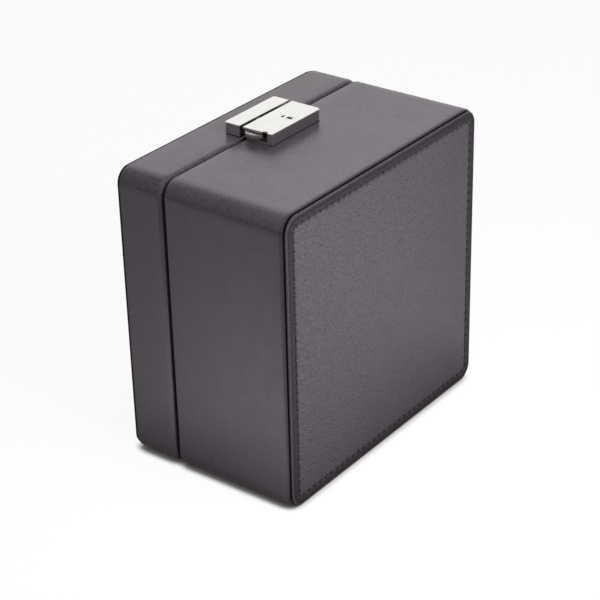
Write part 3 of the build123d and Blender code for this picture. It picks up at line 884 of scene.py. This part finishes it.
cushion_voxel = 2.0 * MM
pad_voxel = 2.6 * MM
simulation_scale = 6.0
simulation_frames = 20
cushion_start = 0.95
cushion_pressure = 4.0
cushion_cap = 2.2 * MM
cushion_shrink = -0.03
cushion_stiffness = 20
cushion_bending = 2
cushion_squareness = 0.62
cushion_points_round = 48
cushion_seam_share = 0.955
cushion_seam_width = 1.2 * MM
cushion_groove_depth = 0.7 * MM
cushion_dent_depth = 0.5 * MM
cushion_dent_length = 19 * MM
gather_count = 26
gather_depth = 0.35 * MM
gather_reach = 7 * MM
gather_wander = 3
gather_wander_length = 9 * MM
pad_cap = 1.6 * MM
pad_corner_radius = 7 * MM
pad_least_round = 1.5 * MM
pad_held_width = 1.5 * MM
pad_held_depth = 0.3 * MM
pad_seam_inset = 6 * MM
pad_groove_depth = 0.5 * MM
pad_dent_depth = 0.35 * MM
pad_dent_length = 23 * MM
pad_dent_shift = (9, 2, 4)
seam_groove_width = 0.9 * MM
cover_clearance = 0.1 * MM


def inflate(piece, voxel, pressure, cap, held):
    """Swells a padded piece by cloth simulation; held picks the points that its seams hold."""
    remesh = piece.modifiers.new("remesh", "REMESH")
    remesh.mode = "VOXEL"
    remesh.voxel_size = voxel
    apply_modifiers(piece)
    mesh = piece.data
    start = read_points(mesh)
    middle = (start.min(0) + start.max(0)) / 2
    write_points(mesh, (start - middle) * simulation_scale)
    group = piece.vertex_groups.new(name="held")
    group.add([int(i) for i in np.nonzero(held(start))[0]], 1.0, "REPLACE")
    cloth = piece.modifiers.new("cloth", "CLOTH")
    cloth.settings.use_pressure = True
    cloth.settings.uniform_pressure_force = pressure
    cloth.settings.vertex_group_mass = "held"
    cloth.settings.effector_weights.gravity = 0
    cloth.settings.shrink_min = cushion_shrink
    cloth.settings.tension_stiffness = cushion_stiffness
    cloth.settings.compression_stiffness = cushion_stiffness
    cloth.settings.bending_stiffness = cushion_bending
    cloth.collision_settings.use_collision = False
    scene = bpy.context.scene
    for step in range(1, simulation_frames + 1):
        scene.frame_set(step)
    depsgraph = bpy.context.evaluated_depsgraph_get()
    swollen = piece.evaluated_get(depsgraph).to_mesh()
    end = read_points(swollen) / simulation_scale + middle
    piece.modifiers.clear()
    piece.vertex_groups.clear()
    scene.frame_set(1)
    moved = end - start
    distance = np.linalg.norm(moved, axis=1, keepdims=True)
    moved *= np.minimum(1, cap / np.maximum(distance, 1e-9))
    write_points(mesh, start + moved)


def read_points(mesh):
    """The mesh's points, as rows of an array."""
    points = np.zeros(len(mesh.vertices) * 3)
    mesh.vertices.foreach_get("co", points)
    return points.reshape(-1, 3)


def write_points(mesh, points):
    """Moves the mesh's points to those of an array."""
    mesh.vertices.foreach_set("co", points.ravel())
    mesh.update()


def make_roll(name, half_length, half_depth, half_height):
    """A cushion about the origin: full in the middle, its ends drawn in to sewn oval panels."""
    # Shares of the half length, the half depth and the half height
    stations = [
        (0.999, 0.001, 0.001),
        (0.985, 0.40, 0.42),
        (0.975, 0.62, 0.64),
        (0.965, 0.74, 0.76),
        (0.93, 0.82, 0.83),
        (0.84, 0.90, 0.91),
        (0.68, 0.96, 0.965),
        (0.40, 0.99, 0.99),
        (0.0, 1.0, 1.0),
    ]
    stations += [(-along, deep, high) for along, deep, high in stations[-2::-1]]
    skin = Skin()
    rings = []
    for along, deep, high in stations:
        points = []
        for step in range(cushion_points_round):
            angle = 2 * math.pi * step / cushion_points_round
            cosine, sine = math.cos(angle), math.sin(angle)
            y = math.copysign(abs(cosine) ** cushion_squareness, cosine) * half_depth * deep
            z = math.copysign(abs(sine) ** cushion_squareness, sine) * half_height * high
            points.append((along * half_length, y, z))
        rings.append(skin.add(points))
    skin.bridge_all(rings)
    skin.cap(rings[0], rings[-1])
    return skin.build(name)


def read_normals(mesh):
    """Unit normals of a mesh's points."""
    normals = np.zeros(len(mesh.vertices) * 3)
    mesh.vertices.foreach_get("normal", normals)
    return normals.reshape(-1, 3)


def subdivide(piece):
    """Splits each face of a piece in four, with a smooth surface."""
    finer = piece.modifiers.new("finer", "SUBSURF")
    finer.levels = 1
    finer.render_levels = 1
    apply_modifiers(piece)


def dent(points, depth, length, shift=(0, 0, 0)):
    """Soft dents for each point, as heights up to the depth."""
    shift = Vector(shift)
    return depth * np.array([noise.noise(Vector(p) / length + shift) for p in points])


def finish_roll(piece, half_length):
    """Sewn end seams, gathers that run from them, and soft dents, on a subdivided cushion."""
    subdivide(piece)
    mesh = piece.data
    points = read_points(mesh)
    normals = read_normals(mesh)
    to_seam = np.abs(np.abs(points[:, 0]) - cushion_seam_share * half_length)
    from_axis = np.hypot(points[:, 1], points[:, 2])
    rim = from_axis > 0.6 * from_axis.max()
    turn = np.arctan2(points[:, 2], points[:, 1])
    groove = -cushion_groove_depth * np.exp(-((to_seam / seam_groove_width) ** 2)) * rim
    fade = np.exp(-to_seam / gather_reach)
    wander = gather_wander * dent(points, 1.0, gather_wander_length)
    gathers = gather_depth * np.cos(gather_count * turn + wander) * fade * rim
    dents = dent(points, cushion_dent_depth, cushion_dent_length)
    write_points(mesh, points + normals * (groove + gathers + dents)[:, None])
    mesh.shade_smooth()


def fit_between(points, low, high, clearance):
    """Moves and shrinks points so that they stay inside a box, less a clearance."""
    low = np.array(low) + clearance
    high = np.array(high) - clearance
    own_low, own_high = points.min(0), points.max(0)
    scale = np.minimum(1, (high - low) / (own_high - own_low))
    return (points - (own_low + own_high) / 2) * scale + (low + high) / 2


def make_cushions():
    """One simulated cushion, laid in each cell, turned so that no two look alike."""
    low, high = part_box("watch_cushion_lower_left")
    half = [(high[i] - low[i]) / 2 for i in range(3)]
    first = make_roll("cushion_form", *(part * cushion_start for part in half))

    def sewn(points):
        seam_x = cushion_seam_share * cushion_start * half[0]
        return np.abs(np.abs(points[:, 0]) - seam_x) < cushion_seam_width

    inflate(first, cushion_voxel, cushion_pressure, cushion_cap, sewn)
    finish_roll(first, half[0] * cushion_start)
    form = read_points(first.data)
    turns = {
        "lower_left": (1, 1),
        "upper_left": (1, -1),
        "lower_right": (-1, 1),
        "upper_right": (-1, -1),
    }
    for place, (flip_x, flip_z) in turns.items():
        node = f"watch_cushion_{place}"
        piece = new_piece(node + "_cover", first.data.copy())
        points = form * (flip_x, 1, flip_z)
        write_points(piece.data, fit_between(points, *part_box(node), cover_clearance))
        if flip_x * flip_z < 0:
            piece.data.flip_normals()
        piece.data.shade_smooth()
        place_piece(piece, "base", [node], finishes["cushion_suede"])
    bpy.data.objects.remove(first)


def make_lid_pad():
    """The lid's pad: crowned towards the watches, with a sewn border."""
    low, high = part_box("lid_pad")
    half_width, half_height = (high.x - low.x) / 2, (high.z - low.z) / 2
    middle_z = (low.z + high.z) / 2
    thickness = high.y - low.y
    places = even_places(40, 6)
    # Inset from the pad's edge, and share of its thickness
    outline = [
        (18.0 * MM, 0.0),
        (1.0 * MM, 0.0),
        (0.3 * MM, 0.12),
        (0.0, 0.3),
        (0.6 * MM, 0.48),
        (2.6 * MM, 0.66),
        (7.0 * MM, 0.82),
        (16.0 * MM, 0.92),
    ]
    skin = Skin()
    rings = []
    for inset, share in outline:
        radius = max(pad_corner_radius - inset, pad_least_round)
        flat, _ = ring(half_width - inset, half_height - inset, radius, places)
        y = np.full(len(flat), high.y - share * thickness)
        rings.append(skin.add(np.column_stack([flat[:, 0], y, flat[:, 1] + middle_z])))
    skin.bridge_all(rings)
    skin.cap(rings[0], rings[-1])
    piece = skin.build("lid_pad_cover")

    def to_edge(points):
        from_middle = np.abs(points[:, 2] - middle_z)
        return np.minimum(half_width - np.abs(points[:, 0]), half_height - from_middle)

    def sewn(points):
        return (to_edge(points) < pad_held_width) | (points[:, 1] > high.y - pad_held_depth)

    inflate(piece, pad_voxel, cushion_pressure, pad_cap, sewn)
    subdivide(piece)
    points = read_points(piece.data)
    normals = read_normals(piece.data)
    front = points[:, 1] < high.y - 0.3 * thickness
    to_seam = to_edge(points) - pad_seam_inset
    groove = -pad_groove_depth * np.exp(-((to_seam / seam_groove_width) ** 2)) * front
    dents = dent(points, pad_dent_depth, pad_dent_length, pad_dent_shift)
    points = points + normals * (groove + dents)[:, None]
    write_points(piece.data, fit_between(points, low, high, cover_clearance))
    piece.data.shade_smooth()
    place_piece(piece, "lid", ["lid_pad"], finishes["pad_suede"])


make_cushions()
make_lid_pad()


def make_spring():
    """The latch spring, which the thumb slide presses together."""
    node = "latch_spring"
    spring = new_piece("latch_spring_strip", frame["nodes"][node].data.copy())
    place_piece(spring, "base", [node], finishes["spring_steel"])
    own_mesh(spring)


make_spring()


# CAD nodes that stay get their finish, and a small round on their sharp edges

weld_distance = 0.002 * MM
sharp_angle = math.radians(35)
edge_rounds = {
    "lining_suede": 0.3 * MM,
    "divider_suede": 0.7 * MM,
    "lock_nickel": 0.12 * MM,
    "lock_parts_steel": 0.1 * MM,
    "key_steel": 0.08 * MM,
    "fastener_steel": 0.06 * MM,
    "hinge_steel": 0.06 * MM,
}


def dress_nodes():
    """Gives each CAD node its slot's finish, and each shown one a small round on its edges."""
    slots = {part["node"]: part["material_slot"] for part in frame["record"]["subparts"]}
    for name, node in frame["nodes"].items():
        slot = slots[name]
        node.data.materials.clear()
        node.data.materials.append(finishes[slot])
        if node.hide_render or slot not in edge_rounds:
            continue
        weld = node.modifiers.new("weld", "WELD")
        weld.merge_threshold = weld_distance
        rounded = node.modifiers.new("round", "BEVEL")
        rounded.width = edge_rounds[slot]
        rounded.segments = 2
        rounded.limit_method = "ANGLE"
        rounded.angle_limit = sharp_angle
        rounded.use_clamp_overlap = True


dress_nodes()


# Floor, light and world

floor_size = 6.0
floor_z = -0.05 * MM
floor_clearness = 0.92
floor_bounce = 0.35
# Reach and tone of the painted contact shadow at the box's foot
contact_reach = 5 * MM
painted_contact_shadow_color = (0.3, 0.27, 0.25)
painted_contact_shadow_share = 0.6
contact_fade = (0.5, 1.0)
clear_fade = (0.5, 0.95)
beneath_reach = 90 * MM
beneath_fade = (0.94, 0.985)
floor_shades = (0.965, 0.975)
sky_level = 0.45
# In reflections the room is white behind the box, and dim towards the camera
backdrop_way = (0.794, 0.608, 0.0)
backdrop_edge = (0.3, 0.75)
dim_level = 0.2
# In reflections the floor has painted shade: darker in front, at the box's foot, and at its back right
front_fade = (-0.26, -0.12)
footprint = (cad_bounds[1][0], cad_bounds[1][1], 0.0)
foot_weights = (1.8, 1.0, 1.0)
foot_dimness = 0.85
foot_fade = (0.0, 0.12)
back_right_way = (0.61, 0.79, 0.0)
back_right_dimness = 0.38
back_right_fade = (-0.07, -0.01)
box_light_place = Vector((-0.08, -0.26, 0.32))
box_light_target = Vector((0, -0.02, 0.12))
box_light_size = 0.25
box_light_power = 2.1


def reflected_painted_shade(finish):
    """How much painted shade darkens the floor's colour in reflections, from place to place."""
    place = finish.add("TexCoord").outputs["Object"]
    along = finish.vector("DOT_PRODUCT", place, backdrop_way, "Value")
    dim = finish.spread(along, 1 - dim_level, 0.0, *front_fade)
    outside = finish.vector("ABSOLUTE", place)
    outside = finish.vector("SUBTRACT", outside, footprint)
    outside = finish.vector("MAXIMUM", outside, (0, 0, 0))
    outside = finish.vector("MULTIPLY", outside, foot_weights)
    away = finish.vector("LENGTH", outside, result="Value")
    dim = finish.math("MAXIMUM", dim, finish.spread(away, foot_dimness, 0.0, *foot_fade))
    aside = finish.vector("DOT_PRODUCT", place, back_right_way, "Value")
    aside = finish.spread(aside, 0.0, back_right_dimness, *back_right_fade)
    return finish.math("MAXIMUM", dim, aside)


def make_floor():
    """A pale floor, mostly clear to the camera, keeping the shadow at the contact with a painted shadow added."""
    mesh = bpy.data.meshes.new("floor")
    half = floor_size / 2
    corners = [(x * half, y * half, floor_z) for x, y in ((-1, -1), (1, -1), (1, 1), (-1, 1))]
    mesh.from_pydata(corners, [], [(0, 1, 2, 3)])
    floor = new_piece("floor", mesh)
    finish = Finish("floor_paint", **{"Specular IOR Level": 0.2})
    grain = finish.noise(3.0)
    path = finish.add("LightPath").outputs
    color = finish.mix(grain, *(shade(white, factor) for factor in floor_shades))
    color = finish.mix(path["Is Diffuse Ray"], color, shade(white, floor_bounce))
    # Painted shade on the floor, seen only in reflections
    dim = finish.math("MULTIPLY", reflected_painted_shade(finish), path["Is Glossy Ray"])
    color = finish.mix(dim, color, shade(white, 0.0))
    near = finish.add("AmbientOcclusion", {"Distance": contact_reach}, samples=8).outputs["AO"]
    # Painted contact shadow: the floor's colour darkened where the box is near
    contact = finish.spread(near, painted_contact_shadow_share, 0.0, *contact_fade)
    color = finish.mix(contact, color, shade(painted_contact_shadow_color, 1.0))
    rough = finish.spread(grain, 0.5, 0.6)
    mesh.materials.append(finish.finish(Base_Color=color, Roughness=rough))
    # The camera sees the white room through most of it, but not near the contact.
    # The open lid swings lower than the box stands: over it the floor is clear, and from below too.
    clear = finish.spread(near, 0.0, floor_clearness, *clear_fade)
    reach = {"Distance": beneath_reach}
    beneath = finish.add("AmbientOcclusion", reach, samples=16, inside=True).outputs["AO"]
    clear = finish.math("MAXIMUM", clear, finish.spread(beneath, 1.0, 0.0, *beneath_fade))
    clear = finish.math("MULTIPLY", clear, path["Is Camera Ray"])
    clear = finish.math("MAXIMUM", clear, finish.add("NewGeometry").outputs["Backfacing"])
    nothing = finish.add("BsdfTransparent").outputs["BSDF"]
    mixed = finish.add("MixShader", {0: clear, 1: finish.surface.outputs["BSDF"], 2: nothing})
    feed(finish.tree, finish.output.inputs["Surface"], mixed.outputs["Shader"])
    floor.visible_shadow = False


def make_softbox():
    """A soft square lamp that reflections don't show."""
    data = bpy.data.lights.new("box_light", "AREA")
    data.shape = "SQUARE"
    data.size = box_light_size
    data.energy = box_light_power
    lamp = bpy.data.objects.new("box_light", data)
    lamp.location = box_light_place
    lamp.rotation_mode = "QUATERNION"
    away = box_light_place - box_light_target
    lamp.rotation_quaternion = away.to_track_quat("Z", "Y")
    lamp.visible_glossy = False
    bpy.context.scene.collection.objects.link(lamp)


def make_world():
    """Even light from all round; reflections see a white backdrop behind the box."""
    world = bpy.data.worlds.new("studio")
    world.use_nodes = True
    tree = world.node_tree
    tree.nodes.clear()
    path = add_node(tree, "LightPath").outputs
    way = {0: add_node(tree, "TexCoord").outputs["Generated"], 1: backdrop_way}
    along = add_node(tree, "VectorMath", way, operation="DOT_PRODUCT").outputs["Value"]
    low, high = backdrop_edge
    glow = {"Value": along, "From Min": low, "From Max": high, "To Min": dim_level, "To Max": 1.0}
    mirrored = add_node(tree, "MapRange", glow, interpolation_type="SMOOTHSTEP").outputs["Result"]
    level = {"Factor": path["Is Glossy Ray"], "A": sky_level, "B": mirrored}
    level = add_node(tree, "Mix", level).outputs["Result"]
    seen = {0: path["Is Camera Ray"], 1: path["Is Transmission Ray"]}
    seen = add_node(tree, "Math", seen, operation="MAXIMUM").outputs["Value"]
    level = add_node(tree, "Mix", {"Factor": seen, "A": level, "B": 1.0}).outputs["Result"]
    light = {"Color": shade(white, 1.0), "Strength": level}
    light = add_node(tree, "Background", light).outputs["Background"]
    add_node(tree, "OutputWorld", {"Surface": light})
    bpy.context.scene.world = world


make_floor()
make_softbox()
make_world()
bpy.context.scene.view_settings.view_transform = "Standard"
